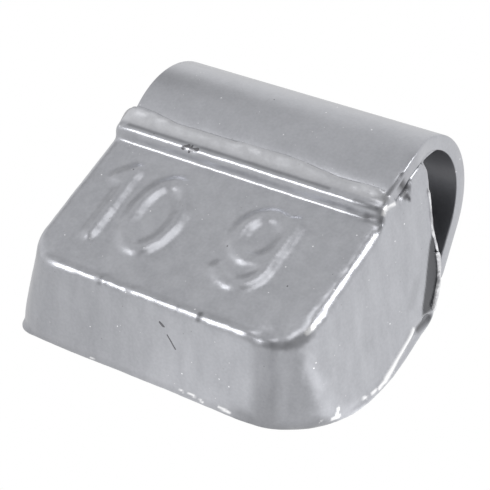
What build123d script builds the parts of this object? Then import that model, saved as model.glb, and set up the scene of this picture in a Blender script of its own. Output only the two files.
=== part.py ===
"""Knock-on wheel balance weight: a zinc body cast round the root of a spring-steel rim clip.

Millimetres. X runs along the weight, Y from its front face back to the clip, Z up. The origin is level
with the lowest line of the underside, under the middle of the weight's box.
"""
import os
from math import cos, radians, sin, tan

from build123d import *

# Cast body, in section
face_slope = 24.5  # degrees, marked face above the level
face_length = 7.7  # up the slope, from the front edge to the foot of the bead
front_height = 4.6  # upright front face
belly_sag = 1.35  # round of the underside, below a line from front to back
back_rise = 2.7  # foot of the back wall above the foot of the front face

# Cast body, along its length
body_length = 15.5  # across the marked face
end_draft = 12.0  # degrees, the ends spread with depth below the marked face

# Rounded edges of the casting
corner_radius = 2.2  # upright front corners
edge_radius = 0.75  # round the marked face, the underside and the back

# Bead along the top of the marked face
bead_height = 0.8
bead_riser = 0.3  # lean of its front, up the slope
bead_width = 1.45  # top of the bead
bead_inset = 0.2  # ends of the bead short of the ends of the face
bead_radius = 0.3

# Rim clip
strip_thickness = 0.75
hook_radius = 3.35  # inside of the bend
hook_lift = 17.5  # degrees, strip against the top of the bead
gap_width = 3.45  # back wall to the widest part of the bend
clip_width = 14.5
clip_shift = 0.2  # clip off the middle of the body
mouth_angle = 16.0  # degrees of the bend seen in the slot at each end
root_angle = 42.0  # degrees of the bend that are cast in
leg_lean = 28.0  # degrees, free leg from upright
leg_length = 3.5
tip_radius = 1.1  # corners of the free leg

# Raised mark: a mass in grams
mark_height = 4.7  # up the slope
mark_base = 2.0  # front edge to the foot of the mark
mark_stroke = 0.6
mark_relief = 0.2
one_x = -5.2
flag_run = 0.7  # flag of the one, back and down from its top
zero_x = -2.7
zero_width = 2.9
unit_x = 2.8
unit_width = 2.9
tail_turn = 150.0  # degrees, tail of the unit letter

# Directions in the section, (y, z): up the marked face, and out of it
along = Vector(cos(radians(face_slope)), sin(radians(face_slope)))
out = Vector(-sin(radians(face_slope)), cos(radians(face_slope)))

# The strip leaves the back edge of the bead at the lift angle and bends round the hook's centre
hook_outer = hook_radius + strip_thickness
bead_back = face_length + bead_riser + bead_width
leave_angle = face_slope + hook_lift
bead_angle = 90 + leave_angle
leave_point = along * bead_back + out * bead_height
hook_centre = leave_point + Vector(sin(radians(leave_angle)), -cos(radians(leave_angle))) * hook_outer
back_wall = hook_centre.X + hook_radius - gap_width

# The underside is an arc from the foot of the front face to the foot of the back wall
front_foot = Vector(0, -front_height)
back_foot = Vector(back_wall, back_rise - front_height)
belly_chord = back_foot - front_foot
belly_down = Vector(belly_chord.Y, -belly_chord.X) / belly_chord.length
belly_middle = (front_foot + back_foot) / 2 + belly_down * belly_sag
belly_radius = (belly_chord.length**2 / 4 + belly_sag**2) / (2 * belly_sag)
underside = (belly_middle - belly_down * belly_radius).Y - belly_radius

# Planes through the middle of the front edge: the section, the marked face and the drafted ends
box_depth = hook_centre.X + hook_outer
front_edge = (0, -box_depth / 2, -underside)
section = Plane(origin=front_edge, x_dir=(0, 1, 0), z_dir=(1, 0, 0))
clip_section = section.offset(clip_shift)
marked_face = Plane(origin=front_edge, x_dir=(1, 0, 0), z_dir=(0, out.X, out.Y))
draft_plane = Plane(origin=front_edge, x_dir=(1, 0, 0), z_dir=(0, -along.X, -along.Y))
out_of_face = Axis((0, 0, 0), (0, out.X, out.Y))
up_the_face = Axis((0, 0, 0), (0, along.X, along.Y))

# Long enough for a cut to clear the whole weight
clear_span = body_length + 2 * box_depth


def on_slope(up_slope, above):
    """Point of the section, given up the marked face and above it."""
    point = along * up_slope + out * above
    return (point.X, point.Y)


def on_hook(radius, angle):
    """Point of the section on a circle about the hook's centre."""
    return (
        hook_centre.X + radius * cos(radians(angle)),
        hook_centre.Y + radius * sin(radians(angle)),
    )


def bend_sector(inner, outer, start, end):
    """Face between two radii and two angles about the hook's centre."""
    centre = (hook_centre.X, hook_centre.Y)
    with BuildLine() as outline:
        CenterArc(centre, outer, start, end - start)
        Line(on_hook(outer, end), on_hook(inner, end))
        CenterArc(centre, inner, end, start - end)
        Line(on_hook(inner, start), on_hook(outer, start))
    make_face(outline.edges())


def stroke(start, end):
    """Straight stroke of the mark, with round ends."""
    middle = (Vector(start) + Vector(end)) / 2
    SlotCenterPoint(middle, end, mark_stroke)


def ring(width, height):
    """Closed round stroke of the mark, by its outside size."""
    Ellipse(width / 2, height / 2)
    Ellipse(width / 2 - mark_stroke, height / 2 - mark_stroke, mode=Mode.SUBTRACT)


# Bead, made apart so that its own edges are rounded before it joins the body
with BuildPart() as bead:
    with BuildSketch(section):
        with BuildLine():
            Polyline(
                on_slope(face_length, -edge_radius),
                on_slope(face_length, 0),
                on_slope(face_length + bead_riser, bead_height),
                on_slope(bead_back, bead_height),
                on_slope(bead_back, -edge_radius),
                close=True,
            )
        make_face()
    extrude(amount=body_length / 2 - bead_inset, both=True)
    bead_top = bead.faces().sort_by(out_of_face)[-1]
    fillet(bead_top.edges().sort_by(up_the_face)[:-1], radius=bead_radius)

# Zinc body, with its ends drafted from the marked face down
half_length = body_length / 2
spread = box_depth * tan(radians(end_draft))
top_taper = bead_height * tan(radians(end_draft))
back_top = (back_wall, back_wall * tan(radians(face_slope)))

# Centre lines of the mark's strokes
mark_top = mark_base + mark_height
stroke_foot = mark_base + mark_stroke / 2
stroke_top = mark_top - mark_stroke / 2
tail_radius = (unit_width - mark_stroke) / 2
tail_y = stroke_foot + tail_radius
stem_x = unit_x + tail_radius
bowl_height = mark_top - tail_y
tail = Edge.make_circle(tail_radius, start_angle=-tail_turn, end_angle=0)

with BuildPart() as cast_body:
    with BuildSketch(section):
        with BuildLine():
            Polyline((back_foot.X, back_foot.Y), back_top, (0, 0), (front_foot.X, front_foot.Y))
            ThreePointArc(
                (front_foot.X, front_foot.Y),
                (belly_middle.X, belly_middle.Y),
                (back_foot.X, back_foot.Y),
            )
        make_face()
    extrude(amount=clear_span / 2, both=True)
    with BuildSketch(draft_plane):
        with BuildLine():
            Polyline(
                (-half_length + top_taper, bead_height),
                (half_length - top_taper, bead_height),
                (half_length + spread, -box_depth),
                (-half_length - spread, -box_depth),
                close=True,
            )
        make_face()
    extrude(amount=clear_span / 2, both=True, mode=Mode.INTERSECT)

    front = cast_body.faces().sort_by(Axis.Y)[0]
    fillet(front.edges().filter_by(Axis.X, reverse=True), radius=corner_radius)
    slope = cast_body.faces().sort_by(out_of_face)[-1]
    fillet(slope.edges().sort_by(up_the_face)[:-1], radius=edge_radius)
    belly = cast_body.faces().filter_by(GeomType.CYLINDER).sort_by(Axis.Z)[0]
    fillet(belly.edges(), radius=edge_radius)

    add(bead.part)

    # Room for the strip: the bend above the bead, the slot at the ends and the pocket for the root
    with BuildSketch(section):
        bend_sector(hook_radius, hook_outer + face_length, 0, bead_angle)
        bend_sector(hook_radius, hook_outer, bead_angle, bead_angle + mouth_angle)
    extrude(amount=clear_span / 2, both=True, mode=Mode.SUBTRACT)
    with BuildSketch(clip_section):
        bend_sector(hook_radius, hook_outer, bead_angle, bead_angle + root_angle)
    extrude(amount=clip_width / 2, both=True, mode=Mode.SUBTRACT)

    # Raised mark: a one with its flag, a nought, and the unit with its bowl, stem and tail
    with BuildSketch(marked_face):
        with Locations((zero_x, mark_base + mark_height / 2)):
            ring(zero_width, mark_height)
        with Locations((unit_x, mark_top - bowl_height / 2)):
            ring(unit_width, bowl_height)
        stroke((one_x, stroke_foot), (one_x, stroke_top))
        stroke((one_x - flag_run, stroke_top - flag_run), (one_x, stroke_top))
        stroke((stem_x, tail_y), (stem_x, stroke_top))
        with Locations((unit_x, tail_y)):
            SlotArc(tail, mark_stroke)
    extrude(amount=mark_relief)

cast_body.part.label = "cast_body"

# Rim clip: bent strip with its root in the body and a free leg behind it
leg_down = Vector(-sin(radians(leg_lean)), -cos(radians(leg_lean))) * leg_length
leg_outer = Vector(*on_hook(hook_outer, -leg_lean))
leg_inner = Vector(*on_hook(hook_radius, -leg_lean))
tip_outer = leg_outer + leg_down
tip_inner = leg_inner + leg_down

with BuildPart() as rim_clip:
    with BuildSketch(clip_section):
        bend_sector(hook_radius, hook_outer, -leg_lean, bead_angle + root_angle)
        with BuildLine():
            Polyline(
                (leg_outer.X, leg_outer.Y),
                (tip_outer.X, tip_outer.Y),
                (tip_inner.X, tip_inner.Y),
                (leg_inner.X, leg_inner.Y),
                close=True,
            )
        make_face()
    extrude(amount=clip_width / 2, both=True)
    tip = rim_clip.faces().sort_by(Axis.Z)[0]
    fillet(tip.edges().filter_by(Axis.X, reverse=True), radius=tip_radius)

rim_clip.part.label = "rim_clip"

os.makedirs("parts", exist_ok=True)
export_step(cast_body.part, "parts/cast_body.step")
export_step(rim_clip.part, "parts/rim_clip.step")
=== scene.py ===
from math import cos, radians, sin

import bpy
import numpy as np
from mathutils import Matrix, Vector


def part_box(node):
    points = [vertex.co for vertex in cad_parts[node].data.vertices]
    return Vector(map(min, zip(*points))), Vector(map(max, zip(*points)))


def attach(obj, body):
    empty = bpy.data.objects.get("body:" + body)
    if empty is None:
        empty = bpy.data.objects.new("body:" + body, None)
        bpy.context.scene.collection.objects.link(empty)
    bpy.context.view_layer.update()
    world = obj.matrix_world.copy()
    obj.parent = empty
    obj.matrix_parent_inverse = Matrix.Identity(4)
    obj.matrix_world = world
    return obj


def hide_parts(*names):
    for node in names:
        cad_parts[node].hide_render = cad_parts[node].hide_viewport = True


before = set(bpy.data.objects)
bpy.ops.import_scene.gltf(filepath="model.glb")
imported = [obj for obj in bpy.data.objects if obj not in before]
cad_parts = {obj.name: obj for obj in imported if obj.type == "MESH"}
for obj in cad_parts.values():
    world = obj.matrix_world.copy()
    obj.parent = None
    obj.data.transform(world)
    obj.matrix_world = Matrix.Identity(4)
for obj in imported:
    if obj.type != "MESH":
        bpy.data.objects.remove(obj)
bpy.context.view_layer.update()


# Bead: the rounded bar of zinc along the top of the marked face, which holds the strip's root down.
# It is drawn as a section, drawn out along the weight, rounded over at both ends and let run up the
# strip in a wavy line, as the metal did in the mould. It is cast in one with the body below.
MM = 0.001
same_place = 0.001 * MM
front_edge = Vector((0, -7.555, 4.923))
bead_core = front_edge + Vector((0, 7.8, 3.1))
bead_top = front_edge + Vector((0, 8.075, 4.615))

# the section, back and up from the front edge of the marked face
bead_section = (
    (6.95, 2.60), (7.08, 3.23), (7.06, 3.60), (7.08, 3.78), (7.16, 3.92), (7.30, 4.00),
    (7.50, 4.07), (7.79, 4.34), (8.075, 4.615), (8.45, 4.20), (8.40, 2.60), (6.95, 2.60),
)

# places along the weight, and the size of the section at each
left_stations = ((-7.72, 0.60), (-7.62, 0.80), (-7.45, 0.90), (-7.2, 0.955), (-6.9, 0.985))
full_stations = (-6.5, -6.0, -5.3, -4.4, -3.5, -2.5, -1.4, 0.0, 1.4, 2.6, 3.8, 4.8, 5.6, 6.1, 6.6)
right_stations = ((7.0, 0.99), (7.25, 0.975), (7.42, 0.955), (7.55, 0.93), (7.64, 0.90), (7.69, 0.86))
bead_stations = (*left_stations, *((x, 1.0) for x in full_stations), *right_stations)

# how far the cast line dips, and how far the right end rolls back and drops, at some of those places
cast_line_dips = (
    (-7.2, -0.2), (-6.9, -0.22), (-6.5, -0.22), (-6.0, -0.18), (-5.3, -0.03), (-4.4, 0.11), (-3.5, 0.06),
    (-2.5, 0.06), (-1.4, 0.06), (1.4, -0.05), (3.8, 0.15), (4.8, 0.24), (5.6, 0.20), (6.1, 0.18), (6.6, 0.16),
    (7.0, 0.14), (7.25, 0.12),
)
end_rolls = (
    (6.1, 0.01), (6.6, 0.04), (7.0, 0.09), (7.25, 0.13), (7.42, 0.16), (7.55, 0.18), (7.64, 0.19),
    (7.69, 0.19),
)
end_drops = ((7.25, 0.02), (7.42, 0.06), (7.55, 0.12), (7.64, 0.22), (7.69, 0.34))
down_strip = Vector((0, -0.707, -0.707))
riser_end = front_edge.y + 7.65
top_start = front_edge.y + 7.6
top_foot = front_edge.z + 3.5
station_reach = 0.03
cast_line_reach = 0.2


def draw_line(name, route):
    """New object with one line of edges, drawn from point to point, in millimetres."""
    bpy.ops.object.select_all(action="DESELECT")
    bpy.ops.mesh.primitive_plane_add(size=MM, location=(0, 0, 0))
    line = bpy.context.active_object
    line.name = name
    bpy.ops.object.mode_set(mode="EDIT")
    bpy.ops.mesh.select_mode(type="VERT")
    bpy.ops.mesh.select_all(action="SELECT")
    bpy.ops.mesh.merge(type="CENTER")
    bpy.ops.transform.translate(value=Vector(route[0]) * MM)
    for start, end in zip(route, route[1:]):
        step = (Vector(end) - Vector(start)) * MM
        bpy.ops.mesh.extrude_region_move(TRANSFORM_OT_translate={"value": step})
    bpy.ops.mesh.select_all(action="SELECT")
    return line


def pick(piece, test):
    """Select the vertices of a piece by a test on their places, in millimetres, and go to edit mode."""
    bpy.ops.object.mode_set(mode="EDIT")
    bpy.ops.mesh.select_mode(type="VERT")
    bpy.ops.mesh.select_all(action="DESELECT")
    bpy.ops.object.mode_set(mode="OBJECT")
    places = np.empty(len(piece.data.vertices) * 3)
    piece.data.vertices.foreach_get("co", places)
    piece.data.vertices.foreach_set("select", test(*(places.reshape(-1, 3) / MM).T))
    bpy.ops.object.mode_set(mode="EDIT")


def shift_station(station_x, in_section, push):
    """Move part of the bead's section at one place along the weight, in millimetres."""
    pick(bead, lambda x, y, z: (abs(x - station_x) < station_reach) & in_section(y, z))
    bpy.ops.transform.translate(value=push * MM)


first_x, bead_size = bead_stations[0]
bead = draw_line("bead", [front_edge + Vector((first_x, run, rise)) for run, rise in bead_section])
bpy.ops.transform.resize(value=(1, bead_size, bead_size), center_override=bead_core * MM)
for (last_x, last_size), (next_x, next_size) in zip(bead_stations, bead_stations[1:]):
    step = Vector((next_x - last_x, 0, 0)) * MM
    bpy.ops.mesh.extrude_region_move(TRANSFORM_OT_translate={"value": step})
    growth = next_size / last_size
    bpy.ops.transform.resize(value=(1, growth, growth), center_override=bead_core * MM)
bpy.ops.mesh.select_all(action="SELECT")
bpy.ops.mesh.remove_doubles(threshold=same_place)
bpy.ops.mesh.select_all(action="SELECT")
bpy.ops.mesh.fill_holes(sides=0)
bpy.ops.mesh.normals_make_consistent(inside=False)
for station_x, dip in cast_line_dips:
    shift_station(
        station_x,
        lambda y, z: np.hypot(y - bead_top.y, z - bead_top.z) < cast_line_reach,
        down_strip * dip,
    )
for station_x, roll in end_rolls:
    shift_station(station_x, lambda y, z: y < riser_end, Vector((0, roll, -0.25 * roll)))
for station_x, drop in end_drops:
    shift_station(station_x, lambda y, z: (y > top_start) & (z > top_foot), Vector((0, 0, -drop)))
bpy.ops.object.mode_set(mode="OBJECT")


# Foot rim: the ridge that the two halves of the mould left all round the foot of the body, fuller along
# the right end. It is drawn as one closed round bar and becomes part of the casting.
foot_rim_line = (
    (-7.3, -7.34, 0.52), (0, -7.34, 0.52), (2.6, -7.34, 0.48), (5.3, -7.34, 0.42), (6.3, -7.12, 0.4),
    (7.2, -6.5, 0.42), (7.95, -5.65, 0.42), (8.4, -4.7, 0.42), (8.66, -3.7, 0.45), (8.76, -2.65, 0.60),
    (8.77, -1.34, 0.74), (8.77, -0.04, 1.18), (8.77, 1.28, 1.83), (8.76, 2.19, 2.10), (8.68, 2.65, 2.50),
    (8.5, 2.95, 3.2), (7.6, 3.10, 3.30), (0, 3.10, 3.30), (-7.6, 3.10, 3.30), (-8.5, 2.95, 3.2),
    (-8.72, 2.3, 2.4), (-8.78, 1.3, 1.85), (-8.78, 0, 1.2), (-8.78, -1.3, 0.74), (-8.78, -2.6, 0.5),
    (-8.72, -4.0, 0.42), (-8.65, -5.4, 0.42), (-8.52, -6.4, 0.46), (-8.2, -7.1, 0.50),
)


def ridge(name, route, thickness, closed=False):
    """Round bar of metal along a smooth line through places in millimetres, as a mesh."""
    bpy.ops.object.select_all(action="DESELECT")
    line = bpy.data.curves.new(name, "CURVE")
    line.dimensions = "3D"
    line.bevel_depth = thickness * MM
    line.bevel_resolution = 3
    line.use_fill_caps = True
    spline = line.splines.new("NURBS")
    spline.points.add(len(route) - 1)
    for point, place in zip(spline.points, route):
        point.co = (*(Vector(place) * MM), 1)
    spline.order_u = 3
    spline.use_endpoint_u = not closed
    spline.use_cyclic_u = closed
    bar = bpy.data.objects.new(name, line)
    bpy.context.scene.collection.objects.link(bar)
    bar.select_set(True)
    bpy.context.view_layer.objects.active = bar
    bpy.ops.object.convert(target="MESH")
    return bpy.context.active_object


foot_rim = ridge("foot_rim", foot_rim_line, thickness=0.21, closed=True)


# Right ear: the end wall of the casting closes in on the cut end of the strip. It is zinc, cast with the
# body: round bars for the ear, the seam that runs down from it, its back edge and the tongue under the
# strip, and a flat cheek below the bead, all of which melt into the body.
ear = ridge("ear", ((7.53, 1.84, 9.21), (7.53, 2.18, 9.39), (7.53, 2.59, 9.54), (7.54, 3.00, 9.62)), 0.25)
ear_seam = ridge("ear_seam", (
    (7.70, 2.3, 9.38), (7.70, 1.93, 9.22), (7.75, 1.87, 8.93), (7.87, 1.98, 8.24), (7.98, 2.15, 7.48),
), 0.1)
ear_back = ridge("ear_back", (
    (7.58, 2.85, 9.52), (7.68, 3.10, 9.28), (7.74, 3.14, 8.8), (7.82, 3.15, 8.2),
), 0.2)
tongue = ridge("tongue", (
    (7.2, 3.18, 9.63), (7.2, 3.68, 9.69), (7.2, 4.2, 9.75), (7.2, 4.75, 9.74), (7.2, 5.23, 9.61),
), 0.24)
cheek_outline = (
    (-0.95, 7.55), (-0.62, 7.95), (-0.33, 8.42), (-0.18, 8.56), (0.28, 8.70), (0.82, 8.62), (1.27, 8.62),
    (1.5, 8.0), (0.5, 7.2), (-0.95, 7.55),
)
cheek_inside = 7.0
cheek_thickness = 0.68
cheek_draft = 0.1
cheek = draw_line("cheek", [Vector((cheek_inside, y, z)) for y, z in cheek_outline])
bpy.ops.mesh.remove_doubles(threshold=same_place)
bpy.ops.mesh.select_all(action="SELECT")
bpy.ops.mesh.edge_face_add()
bpy.ops.mesh.extrude_region_move(TRANSFORM_OT_translate={"value": Vector((cheek_thickness, 0, 0)) * MM})
pick(cheek, lambda x, y, z: (x > 7.5) & (z < 8.1))
bpy.ops.transform.translate(value=Vector((cheek_draft, 0, 0)) * MM)
bpy.ops.mesh.select_all(action="SELECT")
bpy.ops.mesh.normals_make_consistent(inside=False)
bpy.ops.object.mode_set(mode="OBJECT")


# Flash line: zinc squeezed out between the halves of the mould, along the lower edge of the right end,
# and the short bridge that joins its upper end to the end wall. Both are round bars cast with the body.
bridge = ridge("bridge", ((8.78, 2.5, 2.55), (8.78, 2.1, 2.72), (8.76, 1.8, 2.84), (8.66, 1.5, 2.95)), 0.18)
flash_line = ridge("flash_line", (
    (8.84, 0.8, 2.38), (8.84, 0.28, 2.02), (8.84, -0.41, 1.62), (8.84, -1.01, 1.28), (8.83, -1.69, 0.95),
    (8.80, -2.3, 0.80), (8.74, -3.2, 0.80),
), 0.12)


# Zinc body: die-cast round the clip's root, silver-coated, with soft edges and a raised number. The solid
# is copied, its corners are eased as the photograph shows, and the bead, the rim, the ear and the flash
# line are fused to it in one skin.
face_slope = radians(24.5)
face_rise = 0.4557
out_of_face = Vector((0, -sin(face_slope), cos(face_slope)))
up_the_face = Vector((0, cos(face_slope), sin(face_slope)))
bead_sink = 1.0
right_end = 7.75
right_end_ease = 0.87
rough_grain = 0.12
skin_grain = 0.1


def height_over_face(y, z):
    """Height above the marked face, in millimetres."""
    return (y - front_edge.y) * out_of_face.y + (z - front_edge.z) * out_of_face.z


def run_up_face(y, z):
    """Distance up the marked face from the front edge, in millimetres."""
    return (y - front_edge.y) * up_the_face.y + (z - front_edge.z) * up_the_face.z


def on_face(y, z, lowest, start, end):
    """Whether places lie over a height above the marked face and between two runs up it."""
    run = run_up_face(y, z)
    return (height_over_face(y, z) > lowest) & (run > start) & (run < end)


def near(place, radius):
    """Test for places within a radius of one place, in millimetres."""
    return lambda x, y, z: np.sqrt((x - place[0]) ** 2 + (y - place[1]) ** 2 + (z - place[2]) ** 2) < radius


def pull(push, reach):
    """Move what is picked, and softly what lies within a reach of it, in millimetres."""
    bpy.ops.transform.translate(
        value=Vector(push) * MM,
        use_proportional_edit=True,
        proportional_edit_falloff="SMOOTH",
        proportional_size=reach * MM,
    )


def melt(piece, grain):
    """Melt the shells of a piece into one closed skin, with a grain in millimetres."""
    skin = piece.modifiers.new("one skin", "REMESH")
    skin.mode = "VOXEL"
    skin.voxel_size = grain * MM
    bpy.ops.object.modifier_apply(modifier=skin.name)


def roughen(piece, name, size, depth, level):
    """Move the skin of a piece in and out by a cloudy pattern, its size and depth in millimetres."""
    clouds = bpy.data.textures.new(name, "CLOUDS")
    clouds.noise_scale = size * MM
    ripple = piece.modifiers.new(name, "DISPLACE")
    ripple.texture = clouds
    ripple.texture_coords = "LOCAL"
    ripple.mid_level = level
    ripple.strength = depth * MM
    bpy.ops.object.modifier_apply(modifier=ripple.name)


casting = bpy.data.objects.new("casting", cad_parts["cast_body"].data.copy())
bpy.context.scene.collection.objects.link(casting)
bpy.ops.object.select_all(action="DESELECT")
casting.select_set(True)
bpy.context.view_layer.objects.active = casting
casting.data.materials.clear()
bpy.ops.object.mode_set(mode="EDIT")
bpy.ops.mesh.select_all(action="SELECT")
bpy.ops.mesh.remove_doubles(threshold=2 * same_place)

# the solid's own bead sinks below the marked face, to make room for the new one, and the corners are eased
pick(casting, lambda x, y, z: on_face(y, z, 0.005, 7.5, 9.6))
bpy.ops.transform.translate(value=-bead_sink * MM * out_of_face)
pick(casting, lambda x, y, z: x > right_end)
bpy.ops.transform.resize(value=(right_end_ease, 1, 1), center_override=(right_end * MM, 0, 0))
bpy.ops.object.mode_set(mode="OBJECT")
melt(casting, rough_grain)
pick(casting, near((7.9, -6.7, 0.5), 0.5))
pull((-0.28, 0.28, 0.06), 2.8)
pick(casting, near((-8.3, -6.9, 0.9), 0.5))
pull((-0.2, -0.045, 0), 3.6)
bpy.ops.object.mode_set(mode="OBJECT")

# the pieces that were cast with it join it, and the skin is softened, most on the face and the bead's end
for lump in (bead, foot_rim, ear, ear_seam, ear_back, tongue, cheek, bridge, flash_line, casting):
    lump.select_set(True)
bpy.context.view_layer.objects.active = casting
bpy.ops.object.join()
melt(casting, skin_grain)
soften = casting.modifiers.new("cast softness", "SMOOTH")
soften.factor = 0.5
soften.iterations = 10
bpy.ops.object.modifier_apply(modifier=soften.name)
for soft_part, repeat in (
    (lambda x, y, z: on_face(y, z, -0.05, 1.5, 7.25) & (abs(x) < 6.7), 13),
    (lambda x, y, z: (x > 7.2) & (y > -0.75) & (z > 8.1), 5),
    (lambda x, y, z: (x > 7.3) & (y > -0.7) & (y < 0.6) & (z > 8.1), 14),
):
    pick(casting, soft_part)
    bpy.ops.mesh.vertices_smooth(factor=0.5, repeat=repeat)

# the front edge is drawn a little sharper, most in the middle, then everything gets its small dents
pick(casting, lambda x, y, z: (np.hypot(y + 7.42, z - 4.86) < 0.15) & (abs(x) < 6.3))
pull((0, -0.015, 0.06), 0.55)
pick(casting, lambda x, y, z: (np.hypot(y + 7.43, z - 4.92) < 0.1) & (x > -4.4) & (x < 2.4))
pull((0, -0.005, 0.035), 0.35)


def dent(x, y, z, reach, push):
    """Soft dent or swelling of the casting, in millimetres."""
    pick(casting, near((x, y, z), 0.35 * reach))
    pull(push, reach)


luck = np.random.default_rng(7)
nick_y, nick_z = -0.40, 8.81
front_edge_y, front_edge_z = -7.38, 4.87
end_edge_x, end_edge_foot = 7.62, 4.85
dent(6.9, -7.1, 5.0, 1.3, (-0.03, 0.06, -0.08))
dent(7.6, -6.1, 5.5, 1.0, (-0.05, 0, -0.05))
for nick_x, depth in ((-3.35, 0.03), (-3.1, 0.02), (-2.85, 0.03)):
    dent(nick_x, nick_y, nick_z, 0.25, (0, 0.6 * depth, -0.8 * depth))
for edge_x in np.arange(-6.6, 6.4, 0.5):
    amount = luck.uniform(-0.04, 0.05)
    dent_x = edge_x + luck.uniform(-0.2, 0.2)
    reach = luck.uniform(0.4, 0.95)
    dent(dent_x, front_edge_y, front_edge_z, reach, (0, 0.6 * amount, -0.8 * amount))
for edge_y in np.arange(-5.9, -1.0, 0.5):
    amount = luck.uniform(-0.025, 0.035)
    edge_z = end_edge_foot + (edge_y - front_edge.y) * face_rise
    dent_y = edge_y + luck.uniform(-0.2, 0.2)
    reach = luck.uniform(0.35, 0.7)
    dent(end_edge_x, dent_y, edge_z, reach, (-0.7 * amount, 0, -0.7 * amount))
bpy.ops.object.mode_set(mode="OBJECT")
for wave_size, wave_depth in ((1.6, 0.03), (0.7, 0.02), (0.35, 0.006)):
    roughen(casting, "cast waves", wave_size, wave_depth, level=1.0)
bpy.ops.object.shade_smooth()
casting.data.materials.clear()

# marks on the skin: bare bright metal where the coat is knocked off, painted highlights along some edges, and
# painted shade in hollows and creases and over some highlights
places = np.empty(len(casting.data.vertices) * 3)
casting.data.vertices.foreach_get("co", places)
skin_places = places.reshape(-1, 3) / MM
skin_x, skin_y, skin_z = skin_places.T
all_round = (1, 1, 1)
on_end = (0.1, 1, 1)
on_front = (1, 0.1, 1)


def stripe(route, width, softness, weights=all_round):
    """One along a line through places in millimetres and nought beyond its width, over the casting."""
    weighed_places = skin_places * weights
    corners = np.array(route) * weights
    nearest = np.full(len(skin_x), 100.0)
    for start, end in zip(corners, corners[1:]):
        along = np.clip((weighed_places - start) @ (end - start) / ((end - start) @ (end - start)), 0, 1)
        apart = np.linalg.norm(weighed_places - start - along[:, None] * (end - start), axis=1)
        nearest = np.minimum(nearest, apart)
    return np.clip((width - nearest) / softness, 0, 1)


# bright: bare zinc with a painted highlight along the flash line, painted highlights on the front corner and
# on the fold at the bead's end, and bare crumbs along the foot
bright_lines = (
    (on_end, (
        (8.9, 0.75, 2.33), (8.9, 0.28, 2.0), (8.9, -0.41, 1.60), (8.9, -1.01, 1.26), (8.9, -1.69, 0.93),
    ), 0.2),
    (on_end, ((8.9, -1.8, 0.9), (8.9, -2.25, 0.8)), 0.13),
    (all_round, ((7.45, -6.16, 5.25), (7.55, -5.8, 5.45)), 0.14),
    (all_round, ((7.53, -0.17, 8.5), (7.53, -0.046, 8.652), (7.55, 0.09, 8.7)), 0.13),
    (all_round, ((7.55, 0.09, 8.7), (7.61, 0.34, 8.71), (7.635, 0.65, 8.69)), 0.08),
    (on_end, ((8.9, -2.5, 0.82), (8.8, -2.8, 0.8)), 0.1),
    (on_end, ((8.8, -3.2, 0.8), (8.8, -3.4, 0.8)), 0.08),
    (on_end, ((8.6, -4.98, 1.05), (8.6, -5.1, 0.7)), 0.11),
    (on_end, ((8.6, -4.95, 0.62), (8.6, -5.3, 0.6)), 0.14),
    (on_end, ((8.5, -5.9, 0.75), (8.5, -6.0, 0.7)), 0.07),
    (on_front, ((1.5, -7.5, 0.74), (1.62, -7.5, 0.7)), 0.07),
    (on_front, ((2.0, -7.5, 0.76), (2.3, -7.5, 0.7)), 0.08),
    (on_front, ((2.6, -7.5, 0.62), (2.75, -7.5, 0.58)), 0.07),
    (on_front, ((3.65, -7.5, 0.66), (4.2, -7.5, 0.56)), 0.1),
    (on_front, ((-3.73, -7.5, 0.56), (-3.6, -7.5, 0.56)), 0.07),
)
bare_and_highlight = np.zeros(len(skin_x))
for weights, route, width in bright_lines:
    bare_and_highlight = np.maximum(bare_and_highlight, stripe(route, width, 0.5 * width, weights))
# a painted sheen lightens the top band of the bead along its length
bead_band_sheen = stripe(((-7.3, 0.22, 9.26), (7.3, 0.22, 9.26)), 0.47, 0.15)
bare_and_highlight = np.maximum(bare_and_highlight, 0.2 * bead_band_sheen)

# painted shade: the hollow beside the fin, up to a slanting edge, and the line where the metal stops on the
# strip
hollow_heights = (1.8, 2.93, 3.43, 4.09, 4.97, 5.86, 6.4, 7.0)
hollow_edge = np.interp(skin_z, hollow_heights, (1.5, 1.5, 1.75, 2.03, 2.35, 2.67, 3.0, 3.3))
in_hollow = np.clip((skin_y - hollow_edge) / 0.12, 0, 1) * np.clip((skin_x - 7.6) / 0.3, 0, 1)
in_hollow *= np.clip((skin_z - 2.6) / 0.2, 0, 1)
hook_y, hook_z = 3.455, 6.523
hook_reach = np.hypot(skin_y - hook_y, skin_z - hook_z)
hook_turn = np.degrees(np.arctan2(skin_z - hook_z, skin_y - hook_y))
over_strip = (hook_reach > 4.07) & (hook_turn > 120) & (hook_turn < 148)
at_cast_line = np.clip((4.12 - hook_reach) / 0.015, 0, 1) * over_strip
painted_shade = np.maximum(0.85 * in_hollow, 0.6 * at_cast_line)
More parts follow.
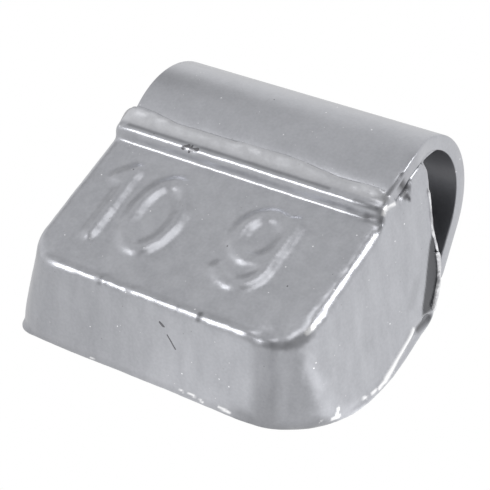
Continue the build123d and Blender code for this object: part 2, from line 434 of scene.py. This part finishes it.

# dark, by line, width and strength: painted shade in the notch beside the ear, the pit under the bridge, at
# the bead's foot and ends, on the end face and over and down the front corner; painted dimming of highlights
# on the bead, over the front edge, by the 0 and in breaks along the edges; and the front darker along its
# foot and round its right corner
dark_lines = (
    (((7.5, 1.66, 9.0), (7.54, 1.56, 8.9), (7.68, 1.54, 8.75)), 0.22, 0.9),
    (((7.68, 1.54, 8.75), (7.8, 1.63, 8.52)), 0.13, 0.9),
    (((7.55, 1.36, 8.82), (7.66, 1.43, 8.72)), 0.24, 0.8),
    (((8.9, 2.15, 2.35), (8.9, 1.2, 2.2)), 0.3, 0.8),
    (((-6.9, -0.2, 8.95), (4.6, -0.2, 8.95)), 0.14, 0.45),
    (((4.4, -0.2, 8.95), (6.2, -0.17, 8.93), (7.2, -0.1, 8.75)), 0.3, 0.06),
    (((5.9, -0.47, 8.25), (7.3, -0.35, 8.2)), 0.25, 0.25),
    (((6.8, -0.46, 8.24), (7.5, -0.4, 8.22)), 0.28, 0.6),
    (((6.15, -0.36, 8.8), (7.2, -0.28, 8.71)), 0.2, 0.4),
    (((8.5, 1.46, 4.49), (8.6, 0.89, 3.56)), 0.4, 0.12),
    (((5.7, -7.4, 4.75), (6.7, -7.35, 4.9), (7.5, -6.9, 5.0)), 0.5, 0.2),
    (((-6.6, -7.2, 5.09), (5.0, -7.2, 5.09)), 0.22, 0.13),
    (((-2.73, -5.79, 5.81), (-2.65, -5.77, 5.82)), 0.22, 0.3),
    (((-3.05, -7.5, 4.9), (-3.05, -7.3, 5.0)), 0.2, 0.45),
    (((2.54, -7.5, 4.9), (2.54, -7.3, 5.1)), 0.2, 0.7),
    (((1.3, -7.5, 4.9), (1.3, -7.3, 5.1)), 0.15, 0.4),
    (((7.75, -5.4, 5.75), (7.6, -5.3, 5.9)), 0.15, 0.6),
    (((-7.6, -7.5, 0.4), (5.0, -7.5, 0.4)), 0.5, 0.12),
    (((5.0, -7.5, 0.4), (6.4, -7.1, 0.3), (7.4, -6.2, 0.3)), 0.9, 0.28),
    (((6.15, -7.5, 4.5), (6.1, -7.48, 0.4)), 0.9, 0.27),
    (((8.25, -5.5, 2.0), (8.45, -4.7, 1.1)), 0.7, 0.14),
)
for route, width, strength in dark_lines:
    painted_shade = np.maximum(painted_shade, strength * stripe(route, width, 0.6 * width))
# the painted highlight and the painted shade are kept as marks on the skin's points
for mark, amount in (("bare_and_highlight", bare_and_highlight), ("painted_shade", painted_shade)):
    layer = casting.data.attributes.new(mark, "FLOAT", "POINT")
    layer.data.foreach_set("value", amount)

# silver coat: a thin grey paint with metal flakes, mottled and streaked, shared by the casting and the clip
silver_dark = (0.288, 0.294, 0.317, 1)
silver_light = (0.567, 0.575, 0.609, 1)
# the colours of bare metal with painted highlight, of painted shade, and of scratches
bare_and_highlight_colour = (0.93, 0.93, 0.94, 1)
painted_shade_colour = (0.06, 0.06, 0.065, 1)
scratch_colour = (0.15, 0.15, 0.16, 1)
coat_dots = (
    (1900, 0.075, 0.16, (0.85, 0.85, 0.87, 1)),
    (2600, 0.08, 0.2, (0.62, 0.62, 0.64, 1)),
    (1300, 0.055, 0.12, (0.16, 0.16, 0.17, 1)),
    (2300, 0.07, 0.12, (0.3, 0.3, 0.31, 1)),
)
scratches = (
    ((0.84, -7.51, 3.47), (1.28, -7.51, 2.88), 0.045),
    ((0.44, -7.51, 4.0), (0.60, -7.51, 3.88), 0.07),
    ((0.62, -7.51, 3.86), (0.66, -7.51, 3.86), 0.05),
    ((-3.46, -0.44, 8.74), (-3.22, -0.30, 8.90), 0.11),
    ((-3.10, -0.50, 8.62), (-3.02, -0.22, 8.98), 0.08),
    ((-2.95, -0.40, 8.80), (-2.70, -0.34, 8.86), 0.12),
    ((-3.30, -0.30, 8.92), (-2.90, -0.46, 8.70), 0.07),
)


def wire(tree, node, sockets):
    """Set each named socket of a node to a value, or link it to the socket of another node."""
    for name, value in sockets.items():
        if isinstance(value, bpy.types.NodeSocket):
            tree.links.new(value, node.inputs[name])
        else:
            node.inputs[name].default_value = value


def add_node(tree, kind, sockets, **settings):
    """New node in a tree, with its settings and its sockets."""
    node = tree.nodes.new(kind)
    for name, value in settings.items():
        setattr(node, name, value)
    wire(tree, node, sockets)
    return node


coat_group = bpy.data.node_groups.new("silver coat", "ShaderNodeTree")
coat_group.interface.new_socket("Place", in_out="INPUT", socket_type="NodeSocketVector")
for name in ("Mottle Size", "Streaks", "Bare_and_highlight", "Painted_shade"):
    coat_group.interface.new_socket(name, in_out="INPUT", socket_type="NodeSocketFloat")
coat_group.interface.new_socket("Color", in_out="OUTPUT", socket_type="NodeSocketColor")
for name in ("Roughness", "Height"):
    coat_group.interface.new_socket(name, in_out="OUTPUT", socket_type="NodeSocketFloat")
coat_in = coat_group.nodes.new("NodeGroupInput").outputs
coat_place = coat_in["Place"]


def noise(place, scale, detail):
    """Noise over the piece, in features to the metre."""
    texture = add_node(coat_group, "ShaderNodeTexNoise", {"Vector": place, "Scale": scale, "Detail": detail})
    return texture.outputs["Fac"]


def sums(operation, first, second):
    """Sum of two values or sockets."""
    node = add_node(coat_group, "ShaderNodeMath", {0: first, 1: second}, operation=operation)
    return node.outputs["Value"]


def vector_sums(operation, first, second):
    """Node for a sum of two vectors or sockets."""
    return add_node(coat_group, "ShaderNodeVectorMath", {0: first, 1: second}, operation=operation)


def blend(mask, first, second):
    """Colour between two colours or sockets, by a mask."""
    node = add_node(coat_group, "ShaderNodeMix", {"Factor": mask, 6: first, 7: second}, data_type="RGBA")
    return node.outputs[2]


def dots(scale, size, share):
    """Mask of small round dots, in a share of the cells of a random pattern."""
    cells = add_node(coat_group, "ShaderNodeTexVoronoi", {"Vector": coat_place, "Scale": scale})
    inside = sums("LESS_THAN", cells.outputs["Distance"], size)
    lot = add_node(coat_group, "ShaderNodeSeparateColor", {"Color": cells.outputs["Color"]})
    chosen = sums("LESS_THAN", lot.outputs["Red"], share)
    return sums("MULTIPLY", inside, chosen)


def scratch(start, end, width):
    """Mask of a fine scratch between two places in millimetres."""
    run = (Vector(end) - Vector(start)) * MM
    from_start = vector_sums("SUBTRACT", coat_place, Vector(start) * MM).outputs["Vector"]
    along = vector_sums("DOT_PRODUCT", from_start, run / run.length_squared).outputs["Value"]
    on_line = add_node(coat_group, "ShaderNodeClamp", {"Value": along}).outputs["Result"]
    foot = add_node(coat_group, "ShaderNodeVectorMath", {0: run, "Scale": on_line}, operation="SCALE")
    apart = vector_sums("DISTANCE", from_start, foot.outputs["Vector"]).outputs["Value"]
    return sums("LESS_THAN", apart, width * MM)


stretched_place = vector_sums("MULTIPLY", coat_place, (1, 1, 0.3)).outputs["Vector"]
streaks = noise(stretched_place, 1500, 3)
mottle = noise(coat_place, coat_in["Mottle Size"], 4)
grain = noise(coat_place, 7000, 3)
peel = noise(coat_place, 2600, 2)
tone = sums("ADD", sums("MULTIPLY", mottle, 0.35), sums("MULTIPLY", grain, 0.35))
tone = sums("ADD", tone, 0.15)
tone = sums("ADD", tone, sums("MULTIPLY", sums("SUBTRACT", streaks, 0.5), coat_in["Streaks"]))
silver = blend(tone, silver_dark, silver_light)
for scale, size, share, colour in coat_dots:
    silver = blend(dots(scale, size, share), silver, colour)
for start, end, width in scratches:
    silver = blend(scratch(start, end, width), silver, scratch_colour)
# painted shade, then bare metal and painted highlight, are laid over the coat's colour; painted shade also
# roughens it
silver = blend(coat_in["Painted_shade"], silver, painted_shade_colour)
silver = blend(coat_in["Bare_and_highlight"], silver, bare_and_highlight_colour)
gloss = sums("ADD", 0.24, sums("MULTIPLY", mottle, 0.08))
gloss = sums("ADD", gloss, sums("MULTIPLY", grain, 0.06))
gloss = sums("ADD", gloss, sums("MULTIPLY", coat_in["Painted_shade"], 0.25))
height = sums("ADD", sums("MULTIPLY", peel, 0.7), sums("MULTIPLY", grain, 0.25))
height = sums("ADD", height, mottle)
add_node(coat_group, "NodeGroupOutput", {"Color": silver, "Roughness": gloss, "Height": height})


def silver_coat(name, mottle_size, streak_depth, bump_depth):
    """Silver coat with its own Principled shader, fed by the shared coat group."""
    finish = bpy.data.materials.new(name)
    finish.use_nodes = True
    tree = finish.node_tree
    # it reads the piece's marks of painted highlight and painted shade
    marks = {
        mark: add_node(tree, "ShaderNodeAttribute", {}, attribute_name=mark.lower()).outputs["Fac"]
        for mark in ("Bare_and_highlight", "Painted_shade")
    }
    coat = add_node(tree, "ShaderNodeGroup", {}, node_tree=coat_group)
    wire(tree, coat, {
        "Place": add_node(tree, "ShaderNodeTexCoord", {}).outputs["Object"],
        "Mottle Size": mottle_size,
        "Streaks": streak_depth,
        **marks,
    })
    bump = add_node(tree, "ShaderNodeBump", {
        "Strength": 1.0,
        "Distance": bump_depth * MM,
        "Height": coat.outputs["Height"],
    })
    wire(tree, tree.nodes["Principled BSDF"], {
        "Metallic": 1.0,
        "Coat Weight": 0.25,
        "Coat Roughness": 0.12,
        "Base Color": coat.outputs["Color"],
        "Roughness": coat.outputs["Roughness"],
        "Normal": bump.outputs["Normal"],
    })
    return finish


zinc_coat = silver_coat("silver coat on zinc", mottle_size=420, streak_depth=0.45, bump_depth=0.006)
casting.data.materials.append(zinc_coat)

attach(casting, "root")
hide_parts("cast_body")


# Fin: thin metal squeezed out along the back edge of the right end, thicker towards its foot. It is bare
# zinc, brighter than the coat, drawn as two round bars and roughened. It is one with the casting.
fin_lines = (
    ("fin", 0.1, (
        (7.75, 2.95, 8.9), (7.95, 3.11, 8.3), (8.08, 3.1, 7.6), (8.24, 3.03, 6.5), (8.36, 3.12, 6.0),
        (8.46, 3.22, 5.5), (8.57, 3.30, 4.95), (8.65, 3.26, 4.5), (8.72, 3.12, 4.1), (8.78, 2.98, 3.66),
        (8.83, 2.75, 3.14), (8.86, 2.45, 2.6),
    )),
    ("lower_fin", 0.15, (
        (8.48, 3.2, 5.3), (8.56, 3.26, 4.95), (8.64, 3.22, 4.5), (8.71, 3.1, 4.1), (8.77, 2.96, 3.66),
        (8.82, 2.73, 3.14), (8.84, 2.45, 2.6),
    )),
)
bare_tones = ((0.38, (0.45, 0.45, 0.47, 1)), (0.6, (0.8, 0.8, 0.82, 1)))


def set_tones(ramp, tones):
    """Give a colour ramp its places and colours."""
    stops = ramp.color_ramp.elements
    while len(stops) < len(tones):
        stops.new(0.5)
    for stop, (place, colour) in zip(stops, tones):
        stop.position = place
        stop.color = colour


fin_bars = [ridge(name, route, thickness) for name, thickness, route in fin_lines]
for bar in fin_bars:
    bar.select_set(True)
bpy.ops.object.join()
flash = bpy.context.active_object
flash.name = "flash"
bpy.ops.object.mode_set(mode="EDIT")
bpy.ops.mesh.select_all(action="SELECT")
bpy.ops.mesh.subdivide(number_cuts=2)
bpy.ops.object.mode_set(mode="OBJECT")
roughen(flash, "ragged", size=0.5, depth=0.09, level=0.75)
bpy.ops.object.shade_smooth()
bare_zinc = bpy.data.materials.new("bare zinc")
bare_zinc.use_nodes = True
bare_tree = bare_zinc.node_tree
bare_place = add_node(bare_tree, "ShaderNodeTexCoord", {}).outputs["Object"]
bare_noise = add_node(bare_tree, "ShaderNodeTexNoise", {"Vector": bare_place, "Scale": 1800, "Detail": 3})
bare_ramp = add_node(bare_tree, "ShaderNodeValToRGB", {"Fac": bare_noise.outputs["Fac"]})
set_tones(bare_ramp, bare_tones)
wire(bare_tree, bare_tree.nodes["Principled BSDF"], {
    "Base Color": bare_ramp.outputs["Color"],
    "Metallic": 1.0,
    "Roughness": 0.3,
})
flash.data.materials.clear()
flash.data.materials.append(bare_zinc)
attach(flash, "root")


# Rim clip: a strip of spring steel bent over into a hook, with its root held in the casting and its free
# leg leaning back to the body. It is swept from the tip up, round the bend and down into the bead.
clip_low, clip_high = (Vector(corner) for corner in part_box("rim_clip"))
strip_thickness = 0.75 * MM
hook_outer = 4.1 * MM
leg_lean = radians(28)
leg_length = 3.5 * MM
tip_radius = 1.1 * MM
root_turn = radians(42 + 42)
bend_steps = 72
flare_start = 6.9 * MM
hook_axis = Vector((0, clip_high.y - hook_outer, clip_high.z - hook_outer))
leg_out = Vector((0, cos(leg_lean), -sin(leg_lean)))
leg_down = -Vector((0, sin(leg_lean), cos(leg_lean)))
leg_top = hook_axis + leg_out * hook_outer
leg_tip = leg_top + leg_down * leg_length

bpy.ops.object.select_all(action="DESELECT")
bpy.ops.mesh.primitive_plane_add(size=1, location=(0, 0, 0))
clip = bpy.context.active_object
clip.name = "spring_clip"
bpy.ops.object.mode_set(mode="EDIT")
bpy.ops.mesh.select_all(action="SELECT")
bpy.ops.mesh.delete(type="ONLY_FACE")
bpy.ops.object.mode_set(mode="OBJECT")
for vertex in clip.data.vertices:
    side_x = clip_high.x if vertex.co.x > 0 else clip_low.x
    end = leg_top if vertex.co.y > 0 else leg_tip
    vertex.co = (side_x, end.y, end.z)
bpy.ops.object.mode_set(mode="EDIT")
bpy.ops.mesh.select_mode(type="EDGE")
bpy.ops.mesh.select_all(action="SELECT")
bpy.ops.mesh.edge_face_add()
bpy.ops.mesh.select_mode(type="VERT")
pick(clip, lambda x, y, z: z < 0.5 * (leg_top.z + leg_tip.z) / MM)
bpy.ops.mesh.bevel(offset=tip_radius, affect="VERTICES", segments=8)
bpy.ops.mesh.select_mode(type="EDGE")
bpy.ops.mesh.select_all(action="DESELECT")
bpy.ops.object.mode_set(mode="OBJECT")
for edge in clip.data.edges:
    ends = [clip.data.vertices[i].co for i in edge.vertices]
    edge.select = all((end - leg_top).yz.length < 0.01 * MM for end in ends)
bpy.ops.object.mode_set(mode="EDIT")
bpy.ops.mesh.spin(
    steps=bend_steps,
    angle=-(leg_lean + radians(90) + root_turn),
    center=hook_axis,
    axis=(1, 0, 0),
)
bpy.ops.mesh.select_all(action="SELECT")
bpy.ops.mesh.remove_doubles(threshold=same_place)
bpy.ops.mesh.normals_make_consistent(inside=False)
bpy.ops.mesh.select_all(action="SELECT")
bpy.ops.mesh.bisect(plane_co=(flare_start, 0, 0), plane_no=(1, 0, 0))
bpy.ops.object.mode_set(mode="OBJECT")
thicken = clip.modifiers.new("strip", "SOLIDIFY")
thicken.thickness = strip_thickness
thicken.offset = -1
bpy.ops.object.modifier_apply(modifier=thicken.name)


# the strip flares a little at its right end, beside the ear, and its edge there is rolled
strip_end = 7.4
strip_flare = 0.22
rolled_edge = 0.25 * MM
sheared_edge = 0.1 * MM


def in_bend(y, z, start, end):
    """Whether places in millimetres lie between two angles about the hook's axis."""
    turn = np.degrees(np.arctan2(z - hook_axis.z / MM, y - hook_axis.y / MM))
    return (turn > start) & (turn < end)


def at_outside(y, z):
    """Whether places in millimetres lie on the outside of the bend."""
    return np.hypot(y - hook_axis.y / MM, z - hook_axis.z / MM) > 4.0


pick(clip, lambda x, y, z: (x > strip_end) & in_bend(y, z, 106, 126))
pull((strip_flare, 0, 0), reach=1.7)
pick(clip, lambda x, y, z: (x > strip_end) & in_bend(y, z, 121, 165) & at_outside(y, z))
bpy.ops.mesh.bevel(offset=rolled_edge, affect="EDGES", segments=6)
bpy.ops.object.mode_set(mode="OBJECT")
edges = clip.modifiers.new("sheared edges", "BEVEL")
edges.width = sheared_edge
edges.segments = 4
edges.limit_method = "ANGLE"
edges.angle_limit = radians(50)
bpy.ops.object.modifier_apply(modifier=edges.name)
bpy.ops.object.shade_smooth_by_angle(angle=radians(40))

# painted shade: on the inside of the hook, most at its top, and on the cut edge where it goes into the
# casting
clip_places = np.array([vertex.co for vertex in clip.data.vertices]) - np.array(hook_axis)
down_leg = clip_places @ np.array(leg_down)
out_of_leg = clip_places @ np.array(leg_out)
on_leg = (down_leg > 0) & (out_of_leg > 0)
from_axis = np.where(on_leg, out_of_leg, np.hypot(clip_places[:, 1], clip_places[:, 2]))
clip_turn = np.degrees(np.arctan2(clip_places[:, 2], clip_places[:, 1]))
hook_inside_shade = np.interp(down_leg / MM, (-3.2, -1.5, 0, 3.5), (0.85, 0.55, 0.3, 0.05))
strip_shade = np.where(from_axis < hook_outer - strip_thickness + 0.01 * MM, hook_inside_shade, 0.0)
at_ear = (clip_places[:, 0] > 7.42 * MM) & (clip_turn > 106) & (clip_turn < 145)
strip_shade[at_ear] = 0.1
on_cut = at_ear & (from_axis < 3.9 * MM)
strip_shade[on_cut] = np.interp(clip_turn[on_cut], (120, 124, 127, 130, 133), (0.1, 0.2, 0.85, 0.85, 0.1))
layer = clip.data.attributes.new("painted_shade", "FLOAT", "POINT")
layer.data.foreach_set("value", strip_shade)
steel_coat = silver_coat("silver coat on steel", mottle_size=300, streak_depth=0.25, bump_depth=0.004)
clip.data.materials.append(steel_coat)
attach(clip, "root")
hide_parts("rim_clip")


# Floor: a plain white sheet that glows so evenly that it shows no shadow. What the weight mirrors of it glows
# in a
# painted pattern of light and shade: a little darker at the left and towards the photographer, and lighter at
# the right. It is part of the studio.
painted_reflection_tones = (
    (0.05, 0.8), (0.14, 0.82), (0.25, 1.08), (0.30, 1.14), (0.335, 0.87), (0.41, 0.76), (0.425, 1.4),
    (0.44, 1.6), (0.47, 1.14), (0.6, 1.08), (0.8, 0.85),
)
floor_size = 3
floor_drop = 0.02 * MM
bpy.ops.object.select_all(action="DESELECT")
bpy.ops.mesh.primitive_plane_add(size=floor_size, location=(0, 0, -floor_drop))
floor = bpy.context.active_object
floor.name = "floor"
sheet = bpy.data.materials.new("white sheet")
sheet.use_nodes = True
sheet_tree = sheet.node_tree
sheet_tree.nodes.remove(sheet_tree.nodes["Principled BSDF"])
sheet_place = add_node(sheet_tree, "ShaderNodeTexCoord", {}).outputs["Object"]
sheet_turn = add_node(sheet_tree, "ShaderNodeTexGradient", {"Vector": sheet_place}, gradient_type="RADIAL")
sheet_ramp = add_node(sheet_tree, "ShaderNodeValToRGB", {"Fac": sheet_turn.outputs["Fac"]})
set_tones(sheet_ramp, [(place, (tone, tone, tone, 1)) for place, tone in painted_reflection_tones])
painted_reflection_glow = add_node(sheet_tree, "ShaderNodeEmission", {"Color": sheet_ramp.outputs["Color"]})
seen_sheet = add_node(sheet_tree, "ShaderNodeEmission", {"Color": (1, 1, 1, 1)})
sheet_mix = add_node(sheet_tree, "ShaderNodeMixShader", {
    "Fac": add_node(sheet_tree, "ShaderNodeLightPath", {}).outputs["Is Camera Ray"],
    1: painted_reflection_glow.outputs["Emission"],
    2: seen_sheet.outputs["Emission"],
})
wire(sheet_tree, sheet_tree.nodes["Material Output"], {"Surface": sheet_mix.outputs["Shader"]})
floor.data.materials.append(sheet)


# Studio: a white tent, dimmer overhead, on the side where the photographer stands and at its door behind
# the left end, with three small soft boxes: at the left front, at the right and overhead.
tent_tones = ((0.1, (1.15, 1.15, 1.15, 1)), (0.9, (0.74, 0.74, 0.74, 1)))
tent = bpy.data.worlds.new("white tent")
bpy.context.scene.world = tent
tent.use_nodes = True
tent_tree = tent.node_tree
tent_place = add_node(tent_tree, "ShaderNodeTexCoord", {}).outputs["Generated"]
tent_height = add_node(tent_tree, "ShaderNodeSeparateXYZ", {"Vector": tent_place}).outputs["Z"]
tent_ramp = add_node(tent_tree, "ShaderNodeValToRGB", {"Fac": tent_height})
tent_ramp.color_ramp.interpolation = "B_SPLINE"
set_tones(tent_ramp, tent_tones)


def dim_side(light, direction, start, end, tone):
    """Light of the tent, dimmed to a tone as the look along a direction goes from start to end."""
    side = add_node(tent_tree, "ShaderNodeVectorMath", {0: tent_place, 1: direction}, operation="DOT_PRODUCT")
    dimming = add_node(tent_tree, "ShaderNodeMapRange", {
        "Value": side.outputs["Value"],
        "From Min": start,
        "From Max": end,
        "To Min": 1.0,
        "To Max": tone,
    }, interpolation_type="SMOOTHSTEP")
    dimmed = add_node(tent_tree, "ShaderNodeMix", {
        "Factor": 1.0,
        6: light,
        7: dimming.outputs["Result"],
    }, data_type="RGBA", blend_type="MULTIPLY")
    return dimmed.outputs[2]


def soft_box(name, direction, distance, size, power):
    """Round light that faces the weight from the given direction."""
    light = bpy.data.lights.new(name, "AREA")
    light.shape = "DISK"
    light.size = size
    light.energy = power
    box = bpy.data.objects.new(name, light)
    bpy.context.scene.collection.objects.link(box)
    toward = Vector(direction).normalized()
    box.location = toward * distance
    box.rotation_euler = toward.to_track_quat("Z", "Y").to_euler()


photographer_side = (0.4992, -0.7129, 0.4924)
door_side = (-0.78, 0.42, 0.47)
tent_light = dim_side(tent_ramp.outputs["Color"], photographer_side, start=0.1, end=1.0, tone=0.4)
tent_light = dim_side(tent_light, door_side, start=0.94, end=0.98, tone=0.6)
wire(tent_tree, tent_tree.nodes["Background"], {"Color": tent_light, "Strength": 1.0})
soft_box("left soft box", (-0.499, -0.689, 0.526), distance=0.3, size=0.11, power=0.18)
soft_box("right soft box", (0.677, 0.161, 0.718), distance=0.3, size=0.12, power=0.26)
soft_box("overhead soft box", (0.07, -0.23, 0.97), distance=0.3, size=0.15, power=0.087)


# Camera: a long lens, above the front right corner, at the photograph's viewing angle. It looks past the
# top of the front edge, so that the weight sits in the frame as it does there.
camera_azimuth = radians(35)
camera_elevation = radians(29.5)
camera_distance = 86.1 * MM
aim = Vector((4.563, -6.741, 8.979)) * MM
toward_camera = Vector((
    sin(camera_azimuth) * cos(camera_elevation),
    -cos(camera_azimuth) * cos(camera_elevation),
    sin(camera_elevation),
))
lens = bpy.data.cameras.new("camera")
lens.sensor_width = 36
lens.lens = 146.94
lens.clip_start = 1 * MM
camera = bpy.data.objects.new("camera", lens)
camera.location = aim + toward_camera * camera_distance
camera.rotation_euler = (radians(90) - camera_elevation, 0, camera_azimuth)
bpy.context.scene.collection.objects.link(camera)
bpy.context.scene.camera = camera
bpy.context.scene.view_settings.view_transform = "Standard"
